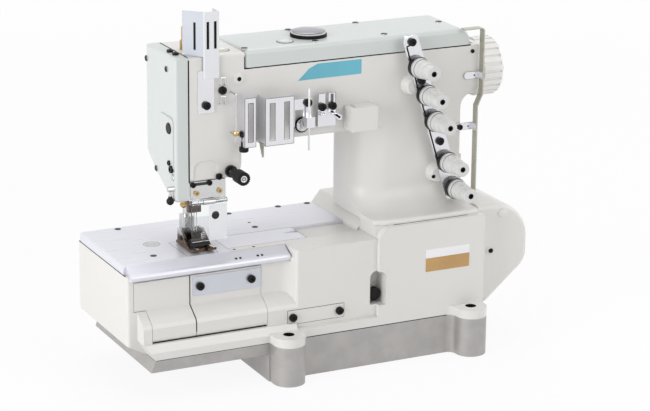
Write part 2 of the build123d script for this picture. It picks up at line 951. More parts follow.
def make_side_screws():
    z = (side_plate_bottom_z + side_plate_top_z) / 2
    return [cap_screw_y(x, belly_y - seam, z)
            for x in (left_x + side_plate_left + side_screw_inset,
                      left_x + side_plate_right - side_screw_inset)]


# Arm

def arm_outline():
    column_end = right_x + column_right
    corners = [(left_x + head_left, head_bottom_z), (left_x + head_right, head_bottom_z),
               (left_x + head_right, arm_under_z), (column_end, arm_under_z),
               (column_end, arm_end_under_z), (right_x + arm_right, arm_end_under_z),
               (right_x + arm_right, arm_seam_z), (left_x + top_left, arm_seam_z),
               (left_x + top_left, head_top_z), (left_x + head_left, head_top_z)]
    radii = [0, head_low_round, head_arm_blend, 0, arm_end_blend, arm_end_round, 0, 0, 0, 0]
    return corners, radii


def arm_body():
    corners, radii = arm_outline()
    body = along_y(corners, arm_front_y, arm_back_y, radii)
    edges = []
    for face in (body.faces().sort_by(Axis.Y)[0], body.faces().sort_by(Axis.Y)[-1]):
        for edge in face.outer_wire().edges():
            spot = edge.center()
            on_joint = spot.X < left_x + head_left + seam or spot.Z > arm_seam_z - seam
            if not on_joint:
                edges.append(edge)
    body = fillet(edges, arm_edge_round - seam)
    crown = [edge for edge in body.edges().filter_by(Axis.X) if edge.center().Z > head_top_z - seam]
    return fillet(crown, head_top_round)


def make_column():
    edge = arm_edge_round - seam
    corners = [(right_x + column_left, arm_front_y), (right_x + column_right, arm_front_y),
               (right_x + column_right, arm_back_y), (right_x + column_left, arm_back_y)]
    return along_z(corners, pedestal_top_z, arm_under_z + arm_wall,
                   [column_round, edge, edge, column_back_round])


def column_flare():
    # Concave foot of the column, straight along the front and turned round the column's corner
    lip_z = pedestal_top_z + flare_lip
    corners = [(arm_front_y + arm_wall, flare_top_z), (arm_front_y, flare_top_z), (arm_front_y, lip_z),
               (front_y - flare_reach, lip_z), (front_y - flare_reach, pedestal_top_z),
               (arm_front_y + arm_wall, pedestal_top_z)]
    radii = [0, 0, flare_radius, wall_round, 0, 0]
    side_x = right_x + column_left
    turn_x = side_x + column_round
    turn = Axis((turn_x, arm_front_y + column_round, 0), (0, 0, 1))
    straight = along_x(corners, turn_x, right_x + column_right, radii)
    bend = revolve(Plane.YZ.offset(turn_x) * outline(corners, radii), turn, -90)
    reach = column_round + flare_reach + arm_front_set
    bend -= block(turn_x - reach - overrun, side_x, front_y - flare_reach - overrun, arm_back_y,
                  pedestal_top_z - overrun, flare_top_z + overrun)
    return straight + bend


def arm_cavity():
    x = left_x
    column_end = right_x + column_right
    arm_end = right_x + arm_right
    inner_front = arm_front_y + arm_wall
    inner_back = arm_back_y - arm_wall
    head = block(x + head_left - overrun, x + head_right - arm_wall, inner_front, inner_back,
                 head_bottom_z + arm_wall, head_top_z - arm_wall)
    left = block(x + head_right - arm_wall - overrun, x + arm_web_inset, inner_front, inner_back,
                 arm_under_z + arm_wall, arm_seam_z + overrun)
    left -= block(x + head_right - arm_wall - overrun, x + top_left + arm_wall, inner_front, inner_back,
                  arm_seam_z - seam, arm_seam_z + overrun)
    right = block(x + arm_web_inset + web_thick, arm_end - arm_wall, inner_front, inner_back,
                  arm_under_z + arm_wall, arm_seam_z + overrun)
    right -= block(column_end - arm_wall, arm_end, inner_front, inner_back,
                   arm_under_z, arm_end_under_z + arm_wall)
    shaft_way = [(right_x + column_left + arm_wall + pedestal_slope, inner_front),
                 (column_end - arm_wall, inner_front), (column_end - arm_wall, inner_back),
                 (right_x + column_left + arm_wall + pedestal_slope, inner_back)]
    column = along_z(shaft_way, pedestal_top_z - overrun, arm_under_z + arm_wall + overrun,
                     [column_inner_round, 0, 0, 0])
    return [head, left, right, column]


def make_arm_casting():
    arm = arm_body() + make_column() + column_flare()
    for hollow in arm_cavity():
        arm -= hollow
    for x in (left_x + arm_web_inset, right_x + arm_right - arm_wall):
        arm -= rod_x(x - overrun, x + web_thick + overrun, shaft_y, upper_shaft_z, bush_radius)
    for y in (needle_y, presser_y):
        arm -= rod_z(needle_x, y, head_bottom_z - overrun, head_bottom_z + arm_wall + overrun,
                     bar_bush_radius)
    arm -= rod_z(needle_x, needle_y, head_top_z - arm_wall - overrun, head_top_z + overrun, bar_bush_radius)
    arm -= rod_z(needle_x, presser_y, head_top_z - arm_wall - overrun, head_top_z + overrun,
                 regulator_stem_radius + running_fit)
    panel = rectangle(left_x + panel_left, left_x + panel_right, head_bottom_z - overrun, panel_top_z)
    arm -= along_y(panel, arm_front_y - overrun, arm_front_y + panel_depth, [0, 0, panel_round, panel_round])
    return arm


def face_outline(inset):
    front = arm_front_y + inset
    back = arm_back_y - inset
    return [(front, head_top_z - inset), (front, face_tip_z + inset),
            (front_y + face_tip_set, face_tip_z + inset),
            (front_y + face_knee_set - inset / 2, face_knee_z + inset), (back, face_back_z + inset / 2),
            (back, head_top_z - inset)]


def make_face_cover():
    start = left_x + face_left
    end = left_x + head_left - seam
    cover = along_x(face_outline(0.0), start, end, [0, face_wall, face_wall, 0, face_round, 0])
    rim = cover.faces().sort_by(Axis.X)[0].outer_wire().edges()
    cover = fillet(rim, face_wall - seam)
    cover -= along_x(face_outline(face_wall), start + face_wall, end + overrun)
    pad = rectangle(arm_front_y + face_wall, front_y + face_pad_back_set, face_pad_bottom_z, face_pad_top_z)
    return cover + along_x(pad, start - face_pad_height, start + face_wall, face_pad_round)


def make_face_plug():
    seat = left_x + face_left - face_pad_height
    plug = rod_x(seat - face_plug_height, seat, front_y + face_plug_set, face_plug_z, face_plug_radius)
    return chamfer(plug.edges().sort_by(Axis.X)[0], face_plug_height / 2)


def make_top_cover():
    corners = rectangle(left_x + top_left, right_x + top_right, arm_seam_z + seam, arm_top_z)
    cover = along_y(corners, arm_front_y, arm_back_y, [0, 0, top_end_round, top_edge_round])
    edges = []
    for face in (cover.faces().sort_by(Axis.Y)[0], cover.faces().sort_by(Axis.Y)[-1]):
        edges += [edge for edge in face.outer_wire().edges() if edge.center().Z > arm_seam_z + overrun]
    cover = fillet(edges, top_edge_round - seam)
    return cover - block(left_x + top_left + top_wall, right_x + top_right - top_end_round,
                         arm_front_y + top_wall, arm_back_y - top_wall, arm_seam_z - overrun,
                         arm_top_z - top_wall)


def make_oil_window():
    x = left_x + window_inset
    y = front_y + window_set
    ring = rod_z(x, y, arm_top_z, arm_top_z + window_height, window_radius)
    ring = fillet(ring.edges().sort_by(Axis.Z)[-1], window_height / 2)
    return ring - rod_z(x, y, arm_top_z + window_height - window_rim / 2, arm_top_z + window_height + overrun,
                        window_radius - window_rim)


def make_top_screws():
    start = left_x + top_left
    length = right_x + top_right - start
    return [slotted_disc(start + length * u, arm_front_y + arm_depth * v, arm_top_z,
                         arm_top_z + screw_head / 2, screw_radius)
            for u, v in zip(top_screw_inset_shares, top_screw_set_shares)]


def make_face_screws():
    seat = left_x + face_left
    height = head_top_z - face_tip_z
    screws = []
    for u, v in zip(face_screw_set_shares, face_screw_z_shares):
        y = arm_front_y + arm_depth * u
        z = face_tip_z + height * v
        screws.append(rod_x(seat - screw_head / 2, seat, y, z, screw_radius))
    return screws


# Shafts and drive

def make_bushes(starts, z):
    return [rod_x(x, x + web_thick, shaft_y, z, bush_radius)
            - rod_x(x - overrun, x + web_thick + overrun, shaft_y, z, shaft_radius + running_fit)
            for x in starts]


def make_upper_shaft():
    crank_x = left_x + crank_left
    shaft = rod_x(crank_x, right_x + wheel_left + wheel_width / 2, shaft_y, upper_shaft_z, shaft_radius)
    return shaft


def make_crank():
    x = left_x + crank_left
    disc = rod_x(x, x + crank_width, shaft_y, upper_shaft_z, crank_disc_radius)
    disc -= rod_x(x - overrun, x + crank_width + overrun, shaft_y, upper_shaft_z, shaft_radius)
    pin_z = upper_shaft_z + crank_throw
    return disc + rod_x(x - link_thick - link_gap * 2, x, shaft_y, pin_z, crank_pin_radius)


def make_link():
    end = left_x + crank_left - link_gap
    start = end - link_thick
    top_z = upper_shaft_z + crank_throw
    low_z = top_z - link_length
    link = rod_x(start, end, shaft_y, top_z, link_eye_radius)
    link += rod_x(start, end, shaft_y, low_z, link_eye_radius)
    link += block(start, end, shaft_y - crank_pin_radius, shaft_y + crank_pin_radius, low_z, top_z)
    link -= rod_x(start - overrun, end + overrun, shaft_y, top_z, crank_pin_radius + running_fit)
    return link - rod_x(start - overrun, end + overrun, shaft_y, low_z, crank_pin_radius)


def make_belt_wheel(z):
    mid = right_x + belt_wheel_inset
    half = belt_wheel_width / 2
    wheel = rod_x(mid - half, mid + half, shaft_y, z, belt_wheel_radius)
    for x in (mid - half, mid + half - belt_flange):
        wheel += rod_x(x, x + belt_flange, shaft_y, z, belt_wheel_radius + belt_flange_rise)
    return wheel - rod_x(mid - half - overrun, mid + half + overrun, shaft_y, z, shaft_radius)


def belt_loop(radius, half):
    mid = right_x + belt_wheel_inset
    loop = rod_x(mid - half, mid + half, shaft_y, upper_shaft_z, radius)
    loop += rod_x(mid - half, mid + half, shaft_y, lower_shaft_z, radius)
    return loop + block(mid - half, mid + half, shaft_y - radius, shaft_y + radius, lower_shaft_z,
                        upper_shaft_z)


def make_timing_belt():
    inner = belt_wheel_radius + belt_clear
    return belt_loop(inner + belt_thick, belt_width / 2) - belt_loop(inner, belt_width / 2 + overrun)


def make_lower_shaft():
    return rod_x(left_x + lower_shaft_left, right_x + lower_shaft_right, shaft_y, lower_shaft_z, shaft_radius)


def make_drive_pulley():
    x = right_x + drive_pulley_inset
    rim = drive_pulley_radius
    mid = x + drive_pulley_width / 2
    profile = [(x, shaft_radius), (x + drive_pulley_width, shaft_radius), (x + drive_pulley_width, rim),
               (mid + drive_groove_half, rim), (mid, rim - drive_groove_depth),
               (mid - drive_groove_half, rim), (x, rim)]
    ring = revolve(Plane.XZ * make_face(Polyline(*profile, close=True)), Axis.X)
    return Pos(0, shaft_y, lower_shaft_z) * ring


def make_handwheel():
    x0 = right_x + wheel_left
    x1 = x0 + wheel_width
    rim_in = wheel_radius - wheel_rim
    profile = [(x0, shaft_radius), (x1 - wheel_dish, shaft_radius), (x1 - wheel_dish / 2, wheel_hub_radius),
               (x1 - wheel_dish, wheel_hub_radius + wheel_dish / 2), (x1 - wheel_dish, rim_in),
               (x1, rim_in + overrun),
               (x1, wheel_radius), (x0, wheel_radius)]
    radii = [0, 0, 0, 0, 0, 0, wheel_round, wheel_round / 2]
    wheel = revolve(Plane.XZ * outline(profile, radii), Axis.X)
    groove = block(x0 - overrun, x1 - wheel_round, -wheel_groove_width / 2, wheel_groove_width / 2,
                   wheel_radius - wheel_groove_depth, wheel_radius + overrun)
    for i in range(wheel_groove_count):
        wheel -= Rot(360 * i / wheel_groove_count, 0, 0) * groove
    bore = x1 - wheel_width / 2
    wheel += rod_x(bore, x1 - wheel_dish, 0, 0, shaft_radius)
    return Pos(0, shaft_y, upper_shaft_z) * wheel


# Needle bar

def make_needle_bar():
    return rod_z(needle_x, needle_y, needle_bar_bottom_z, needle_bar_top_z, needle_bar_radius)


def make_needle_driver():
    z = upper_shaft_z + crank_throw - link_length
    half = driver_height / 2
    driver = rod_z(needle_x, needle_y, z - half, z + half, driver_radius)
    edge = left_x + crank_left - link_gap * 2 - link_thick
    arm = block(needle_x + needle_bar_radius, edge, needle_y, shaft_y + crank_pin_radius, z - half, z + half)
    driver += arm
    driver -= rod_z(needle_x, presser_y, z - half - overrun, z + half + overrun, presser_radius + overrun)
    return driver - rod_z(needle_x, needle_y, z - half - overrun, z + half + overrun, needle_bar_radius)


def needle_places():
    return [needle_x + (i - (needle_count - 1) / 2) * needle_gap_x for i in range(needle_count)]


def make_needle_clamp():
    clamp = block(needle_x - clamp_width / 2, needle_x + clamp_width / 2, needle_y - clamp_depth / 2,
                  needle_y + clamp_depth / 2, clamp_bottom_z, clamp_bottom_z + clamp_height)
    clamp = fillet(clamp.edges().filter_by(Axis.Z), clamp_round)
    clamp -= rod_z(needle_x, needle_y, needle_bar_bottom_z, clamp_bottom_z + clamp_height + overrun,
                   needle_bar_radius)
    for x in needle_places():
        clamp -= rod_z(x, needle_y, clamp_bottom_z - overrun, needle_bar_bottom_z, needle_radius)
    return clamp


def make_needle(x):
    shank = rod_z(x, needle_y, needle_tip_z + needle_tip_length, needle_bar_bottom_z, needle_radius)
    tip = Pos(x, needle_y, needle_tip_z + needle_tip_length / 2) * Cone(
        needle_radius / 4, needle_radius, needle_tip_length)
    return shank + tip


def make_take_up():
    front = front_y + take_up_front_set
    left = needle_x - driver_radius
    right = needle_x + take_up_half_width * 2
    corners = [(left, needle_y + driver_radius), (left, needle_y - needle_bar_radius),
               (needle_x + needle_bar_radius, front), (right, front), (right, needle_y + driver_radius)]
    plate = along_z(corners, take_up_z, take_up_z + take_up_thick, take_up_half_width / 4)
    plate -= rod_z(needle_x, needle_y, take_up_z - overrun, take_up_z + take_up_thick + overrun,
                   needle_bar_radius)
    for i in range(needle_count):
        x = needle_x + take_up_half_width * 2 - (i + 1) * needle_gap_x
        plate -= rod_z(x, front + needle_gap_x, take_up_z - overrun, take_up_z + take_up_thick + overrun,
                       needle_radius * 2)
    return plate


def bar_bush(y, z0, z1, bar_radius):
    bush = rod_z(needle_x, y, z0, z1, bar_bush_radius)
    bush += rod_z(needle_x, y, z0 - bar_bush_flange_thick, z0, bar_bush_flange)
    return bush - rod_z(needle_x, y, z0 - overrun * 2, z1 + overrun, bar_radius + running_fit)


def make_bar_bushes():
    low = head_bottom_z
    top = head_top_z - arm_wall
    upper = rod_z(needle_x, needle_y, top, head_top_z, bar_bush_radius)
    upper -= rod_z(needle_x, needle_y, top - overrun, head_top_z + overrun, needle_bar_radius + running_fit)
    return [bar_bush(needle_y, low, low + arm_wall, needle_bar_radius),
            bar_bush(presser_y, low, low + arm_wall, presser_radius), upper]


# Presser

def make_presser_bar():
    return rod_z(needle_x, presser_y, presser_bottom_z, presser_top_z, presser_radius)


def make_regulator():
    low = head_top_z + seam
    knurl = rod_z(needle_x, presser_y, low, low + regulator_knurl_height, regulator_radius)
    for i in range(regulator_grip_count):
        angle = 2 * math.pi * i / regulator_grip_count
        x = needle_x + regulator_radius * math.cos(angle)
        y = presser_y + regulator_radius * math.sin(angle)
        knurl -= rod_z(x, y, low - overrun, low + regulator_knurl_height + overrun, grip_depth)
    neck = rod_z(needle_x, presser_y, low, low + regulator_height, regulator_neck_radius)
    neck = chamfer(neck.edges().sort_by(Axis.Z)[-1], regulator_neck_radius / 4)
    stem = rod_z(needle_x, presser_y, head_top_z - arm_wall, low, regulator_stem_radius)
    return knurl + neck + stem


def make_presser_foot():
    low = table_top_z + foot_clear
    top = low + foot_thick
    toe_y = front_y + foot_front_set
    sole_y = toe_y + foot_toe_length
    heel_y = front_y + foot_back_set
    side = [(toe_y, low + foot_toe_rise), (sole_y, low), (heel_y, low), (heel_y, top), (sole_y, top),
            (toe_y, top + foot_toe_rise)]
    foot = along_x(side, left_x + foot_left, left_x + foot_right)
    foot -= block(needle_x - foot_slot_half, needle_x + foot_slot_half, front_y + foot_slot_front_set,
                  front_y + foot_slot_back_set, low - overrun, top + overrun)
    foot -= block(needle_x - feed_slot_width, needle_x + feed_slot_width, toe_y - overrun, sole_y,
                  low - overrun, top + foot_toe_rise + overrun)
    rib = [(front_y + foot_rib_front_set, top), (front_y + foot_rib_back_set, top),
           (front_y + foot_rib_back_set, top + foot_rib_height),
           (front_y + foot_slot_back_set, top + foot_rib_height)]
    for x in (left_x + foot_left, left_x + foot_right - foot_rib_thick):
        foot += along_x(rib, x, x + foot_rib_thick)
    foot += block(left_x + foot_left, left_x + foot_right, front_y + foot_rib_back_set - foot_rib_thick,
                  front_y + foot_rib_back_set, top, top + foot_rib_height)
    ankle_z = presser_bottom_z + foot_holder_radius
    foot += block(needle_x - foot_ankle_half, needle_x + foot_ankle_half,
                  front_y + foot_rib_back_set - foot_rib_thick, presser_y + foot_ankle_depth, top, ankle_z)
    foot += rod_z(needle_x, presser_y, presser_bottom_z - foot_rib_thick, ankle_z, foot_holder_radius)
    return foot - rod_z(needle_x, presser_y, presser_bottom_z, ankle_z + overrun, presser_radius)


# Eye guard

def guard_axis():
    return front_y + holder_front_set - guard_hinge_radius - guard_knuckle_gap, guard_top_z


def make_guard_holder():
    y0 = front_y + holder_front_set
    plate = block(left_x + holder_left, left_x + holder_right, y0, y0 + holder_thick, holder_bottom_z,
                  head_bottom_z)
    shelf = block(left_x + holder_left, left_x + holder_right, y0, y0 + holder_shelf,
                  head_bottom_z - holder_thick, head_bottom_z)
    axis_y, axis_z = guard_axis()
    holder = plate + shelf
    holder -= rod_z(needle_x, needle_y, holder_bottom_z, head_bottom_z + overrun, bar_bush_flange + seam)
    third = (holder_right - holder_left) / 3
    start = left_x + holder_left + third
    holder += block(start, start + third, axis_y, y0, axis_z - holder_thick, axis_z + holder_thick)
    holder += rod_x(start, start + third, axis_y, axis_z, guard_hinge_radius)
    pin = hinge_pin_radius / 2
    return holder + rod_x(left_x + holder_left, left_x + holder_right, axis_y, axis_z, pin)


def make_brass_screws():
    y = front_y + holder_front_set
    places = (left_x + holder_left + brass_screw_inset, left_x + holder_right - brass_screw_inset)
    return [rod_y(x, y - brass_screw_head, y, brass_screw_z, brass_screw_radius) for x in places]


def make_eye_guard():
    axis_y, axis_z = guard_axis()
    x0 = left_x + holder_left
    x1 = left_x + holder_right
    pane = block(x0, x1, axis_y - guard_thick / 2, axis_y + guard_thick / 2, guard_bottom_z, axis_z)
    pane += block(x1 - guard_thick, x1, axis_y, axis_y + guard_fold, guard_bottom_z,
                  holder_bottom_z - guard_fold)
    third = (x1 - x0) / 3
    for start in (x0, x1 - third):
        pane += rod_x(start, start + third, axis_y, axis_z, guard_hinge_radius)
    gap = guard_knuckle_gap
    pane -= block(x0 + third - gap, x1 - third + gap, axis_y - guard_hinge_radius - overrun,
                  axis_y + guard_hinge_radius + overrun, axis_z - guard_hinge_radius - gap,
                  axis_z + guard_hinge_radius + overrun)
    pane -= rod_x(x0 - overrun, x1 + overrun, axis_y, axis_z, hinge_pin_radius / 2 + running_fit)
    return pane - rod_y(left_x + guard_hole_inset, axis_y - guard_thick, axis_y + guard_thick, guard_hole_z,
                        guard_hole_radius)


def make_small_lever():
    seat = left_x + face_left - seam
    x = seat - lever_ball_radius - seam
    y = front_y + lever_set
    lever = rod_x(x - lever_pivot_radius, seat, y, lever_z, lever_pivot_radius)
    lever += rod_z(x, y, lever_z - lever_length, lever_z, lever_radius)
    return lever + Pos(x, y, lever_z - lever_length) * Rot(0, 90, 0) * Sphere(lever_ball_radius)


# Spreader tension

def make_spreader_post():
    x = left_x + spreader_inset
    return rod_y(x, front_y + spreader_post_front, arm_front_y, spreader_z, spreader_post_radius)


def make_spreader_discs():
    x = left_x + spreader_inset
    discs = []
    for i in range(2):
        end = front_y + spreader_disc_back - i * (spreader_disc_thick + spreader_disc_gap)
        disc = rod_y(x, end - spreader_disc_thick, end, spreader_z, spreader_disc_radius)
        discs.append(disc - rod_y(x, end - spreader_disc_thick - overrun, end + overrun, spreader_z,
                                  spreader_post_radius))
    return discs


def make_spreader_knob():
    x = left_x + spreader_inset
    front = front_y + spreader_knob_front
    back = front_y + spreader_knob_back
    knob = rod_y(x, front, back, spreader_z, spreader_knob_radius)
    for i in range(spreader_grip_count):
        angle = 2 * math.pi * i / spreader_grip_count
        knob -= rod_y(x + spreader_knob_radius * math.cos(angle), front - overrun, back + overrun,
                      spreader_z + spreader_knob_radius * math.sin(angle), grip_depth)
    return knob - rod_y(x, front_y + spreader_post_front - seam, back + overrun, spreader_z,
                        spreader_post_radius + running_fit)


# Tension unit

def tension_places():
    run_x = tension_low_inset - tension_top_inset
    run_z = tension_low_z - tension_top_z
    return [(right_x + tension_top_inset + run_x * share, tension_top_z + run_z * share)
            for share in tension_place_shares]


def tension_point(along_share, across):
    run_x = tension_low_inset - tension_top_inset
    run_z = tension_low_z - tension_top_z
    length = math.hypot(run_x, run_z)
    x = right_x + tension_top_inset + run_x * along_share - across * run_z / length
    return x, tension_top_z + run_z * along_share + across * run_x / length


def tension_screw_places():
    return [tension_point(share, shift) for share, shift in zip(tension_screw_shares, tension_screw_shifts)]


def tension_plane():
    return arm_front_y - tension_plate_gap - tension_plate_thick


def make_tension_bracket():
    length = math.hypot(tension_low_inset - tension_top_inset, tension_low_z - tension_top_z)
    top = -tension_plate_rise / length
    low = 1 + tension_plate_drop / length
    corners = [tension_point(share, across) for share, across in
               ((top, tension_plate_top_span[0]), (top, tension_plate_top_span[1]),
                (low, tension_plate_low_span[1]), (low, tension_plate_low_span[0]))]
    y0 = tension_plane()
    bracket = along_y(corners, y0, y0 + tension_plate_thick, tension_plate_round)
    for x, z in tension_screw_places():
        bracket += rod_y(x, y0 + tension_plate_thick, arm_front_y, z, boss_radius)
    return bracket


def make_tension_posts():
    return [rod_y(x, front_y + knob_front_set + boss_radius, tension_plane(), z, tension_post_radius)
            for x, z in tension_places()]


def make_tension_discs():
    discs = []
    for x, z in tension_places():
        for i in range(2):
            end = tension_plane() - seam - i * (tension_disc_thick + tension_disc_gap)
            disc = rod_y(x, end - tension_disc_thick, end, z, tension_disc_radius)
            discs.append(disc - rod_y(x, end - tension_disc_thick - overrun, end + overrun, z,
                                      tension_post_radius))
    return discs


def make_tension_knob(x, z):
    length = knob_back_set - knob_front_set
    y = front_y + knob_back_set
    knob = None
    for radius, share in zip(knob_step_radii, knob_step_length_shares):
        step = rod_y(x, y - length * share, y, z, radius)
        step = chamfer(step.edges().sort_by(Axis.Y)[0], seam * 2)
        knob = step if knob is None else knob + step
        y -= length * share
    bore_front = front_y + knob_front_set + boss_radius - seam
    knob -= rod_y(x, bore_front, front_y + knob_back_set + overrun, z, tension_post_radius + running_fit)
    cup = front_y + knob_back_set - length * knob_cup_share
    knob -= rod_y(x, cup, front_y + knob_back_set + overrun, z, knob_cup_radius)
    return knob - rod_y(x, front_y + knob_front_set - overrun, bore_front, z, knob_hole_radius)


def make_bracket_screws():
    return [cap_screw_y(x, tension_plane(), z) for x, z in tension_screw_places()]


# Thread guides

def angle_plate(left, right, z0, z1):
    # Slotted plate in front of the arm with a side flange back to the arm
    y0 = front_y + guide_set
    corners = [(left_x + left, arm_front_y), (left_x + left, y0), (left_x + right, y0),
               (left_x + right, y0 + sheet), (left_x + left + sheet, y0 + sheet),
               (left_x + left + sheet, arm_front_y)]
    return along_z(corners, z0, z1)


def guide_slot(centre, z0, z1):
    y0 = front_y + guide_set
    corners = rectangle(centre - guide_slot_width / 2, centre + guide_slot_width / 2, z0, z1)
    return along_y(corners, y0 - overrun, y0 + sheet + seam, sheet)


def make_guide_one():
    plate = angle_plate(guide_one_left, guide_one_right, guide_one_bottom_z, guide_one_top_z)
    centre = left_x + (guide_one_left + guide_one_right + sheet) / 2
    return plate - guide_slot(centre, guide_one_bottom_z + guide_slot_margin,
                              guide_one_top_z - guide_slot_margin)


def make_guide_two():
    plate = angle_plate(guide_two_left, guide_two_right, guide_two_bottom_z, guide_two_top_z)
    width = guide_two_right - guide_two_left
    for i in (1, 3):
        plate -= guide_slot(left_x + guide_two_left + width * i / 4, guide_two_bottom_z + guide_slot_margin,
                            guide_two_top_z - guide_slot_margin)
    return plate


def make_guide_rod():
    x = left_x + rod_inset
    y = front_y + rod_set
    rod = rod_z(x, y, rod_bottom_z, rod_top_z, rod_radius)
    for z in (rod_bottom_z, rod_top_z):
        rod += Pos(x, y, z) * Sphere(rod_radius)
        rod += rod_y(x, y, arm_front_y, z, rod_radius)
    return rod


def make_guide_clip():
    y0 = front_y + clip_set
    x0 = left_x + clip_left
    x1 = left_x + clip_right
    plate = block(x0, x0 + sheet, y0, arm_front_y, clip_bottom_z, clip_top_z)
    plate += block(x0, x1, y0, y0 + sheet, clip_top_z - clip_block_height, clip_top_z)
    plate += block(x1 - clip_block_width, x1, y0 - clip_block_width, y0, clip_bottom_z,
                   clip_bottom_z + clip_block_height)
    plate += block(x1 - clip_block_width, x1, y0, y0 + sheet, clip_bottom_z, clip_top_z)
    return plate + rod_z(x1 - clip_block_width / 2, y0 - clip_block_width / 2, clip_rod_bottom_z,
                         clip_bottom_z, rod_radius)


def make_eyelet_bracket():
    y0 = front_y + eyelet_set
    x0 = left_x + eyelet_left
    x1 = left_x + eyelet_right
    plate = block(x0, x1, y0, y0 + sheet, eyelet_bottom_z, eyelet_top_z)
    slot = (x0 + x1) / 2
    plate -= block(slot - sheet, slot + sheet, y0 - overrun, y0 + sheet + overrun,
                   (eyelet_bottom_z + eyelet_top_z) / 2, eyelet_top_z + overrun)
    plate += block(x0, x1, y0, arm_front_y, eyelet_bottom_z, eyelet_bottom_z + sheet)
    for x in (x0 + eyelet_ring_radius, x1 - eyelet_ring_radius):
        z = (eyelet_bottom_z + eyelet_top_z) / 2 - eyelet_ring_radius
        plate += Pos(x, y0 - eyelet_ring_radius, z) * Torus(eyelet_ring_radius, eyelet_wire)
    return plate


def make_guide_box():
    corners = rectangle(left_x + box_left, left_x + box_right, box_bottom_z, box_top_z)
    box = along_y(corners, front_y + box_front_set, arm_front_y, box_round)
    slot_x = left_x + box_left + box_round * 2
    return box - block(slot_x, slot_x + box_slot_width, front_y + box_front_set + box_round,
                       arm_front_y - box_round, box_top_z - box_slot_depth, box_top_z + overrun)


def make_guide_screws():
    eyelet_z = eyelet_top_z - eyelet_screw_drop
    places = [(left_x + eyelet_left + black_screw_radius, front_y + eyelet_set, eyelet_z),
              (left_x + eyelet_right - black_screw_radius, front_y + eyelet_set, eyelet_z),
              (left_x + clip_right - black_screw_radius, front_y + clip_set, clip_top_z - black_screw_radius),
              (left_x + (base_plate_left + base_plate_right) / 2, arm_front_y - base_plate_thick,
               base_plate_bottom_z + black_screw_radius * 2),
              (left_x + hook_inset, arm_front_y, (hook_bottom_z + hook_top_z) / 2)]
    return [cap_screw_y(x, y, z) for x, y, z in places]


# Take-up guard

def make_base_plate():
    corners = rectangle(left_x + base_plate_left, left_x + base_plate_right, base_plate_bottom_z,
                        base_plate_top_z)
    return along_y(corners, arm_front_y - base_plate_thick, arm_front_y, sheet)


def make_take_up_guard():
    front = arm_front_y - base_plate_thick - sheet
    x0 = left_x + shield_wing_left
    x1 = left_x + shield_front_left
    x2 = left_x + shield_front_right
    wing_y = front_y + shield_wing_set
    back = front_y + shield_return_set
    corners = [(x0, wing_y), (x1, front), (x2, front), (x2, back), (x2 - sheet, back),
               (x2 - sheet, front + sheet),
               (x1 + sheet / 2, front + sheet), (x0 + sheet, wing_y + sheet / 2)]
    shield = along_z(corners, shield_bottom_z, shield_top_z)
    low = shield_bottom_z - overrun
    shield -= block(x0 - overrun, x2 + overrun, front + sheet, wing_y + overrun, low, head_top_z + seam)
    shield -= block(x0 - overrun, left_x + base_plate_left, front - overrun, wing_y + overrun, low,
                    head_top_z + seam)
    span = x2 - x1
    for i in (1, 3):
        x = x1 + span * i / 4
        shield -= block(x - shield_slot_width / 2, x + shield_slot_width / 2, front - overrun,
                        front + sheet + seam, shield_slot_bottom_z, shield_slot_top_z)
    return shield


def make_thread_hooks():
    x = left_x + hook_inset
    wires = []
    for z0, z1 in ((hook_top_z - hook_half_width, hook_top_z + hook_half_width * 2),
                   (hook_bottom_z - hook_half_width * 2, hook_bottom_z + hook_half_width)):
        wire = None
        for side in (-1, 1):
            u = x + side * hook_half_width
            leg = rod_z(u, arm_front_y - hook_reach, z0, z1, hook_wire)
            leg += rod_y(u, arm_front_y - hook_reach, arm_front_y, z0, hook_wire)
            leg += Pos(u, arm_front_y - hook_reach, z0) * Sphere(hook_wire)
            leg += Pos(u, arm_front_y - hook_reach, z1) * Sphere(hook_wire)
            wire = leg if wire is None else wire + leg
        wire += rod_x(x - hook_half_width, x + hook_half_width, arm_front_y - hook_reach, z1, hook_wire)
        wires.append(wire)
    return wires


# Right end

def make_strip_guard():
    back = front_y + strip_guard_back_set
    front = back - strip_guard_depth
    thick = strip_guard_thick
    x = right_x + strip_guard_x
    low = right_x + strip_guard_low_x
    top = arm_top_z + thick
    end = right_x + strip_guard_top_left
    corners = [(end, top), (x + thick, top), (x + thick, strip_guard_bend_z - seam),
               (low + thick, strip_guard_low_bend_z - seam), (low + thick, strip_guard_bottom_z),
               (low, strip_guard_bottom_z), (low, strip_guard_low_bend_z), (x, strip_guard_bend_z),
               (x, arm_top_z), (end, arm_top_z)]
    radii = [0, strip_guard_round, 0, 0, 0, 0, 0, 0, strip_guard_round - thick, 0]
    guard = along_y(corners, front, back, radii)
    guard += strip_tabs(x + thick, low + thick, back)
    return guard


def strip_tabs(upper_end, lower_end, back):
    upper = rectangle(right_x + tab_upper_left, upper_end, tab_upper_z, tab_upper_z + tab_height)
    lower = rectangle(right_x + tab_lower_left, lower_end, tab_lower_z, tab_lower_z + tab_height)
    round_end = tab_height / 2 - seam
    tabs = along_y(upper, back, arm_front_y, [round_end, 0, 0, round_end])
    return tabs + along_y(lower, back, arm_front_y, [round_end, 0, 0, round_end])


def pulley_cover_outline(inset):
    x0 = right_x + seam
    x1 = right_x + pulley_cover_right - inset
    z0 = pulley_cover_bottom_z + inset
    z1 = pulley_cover_top_z - inset
    corners = [(x0, z0), (x1 - pulley_cover_low_slope, z0), (x1, z0 + pulley_cover_low_rise), (x1, z1),
               (x0, z1)]
    return corners, [0, wall_round, pulley_cover_low_round, pulley_cover_top_round - inset, 0]


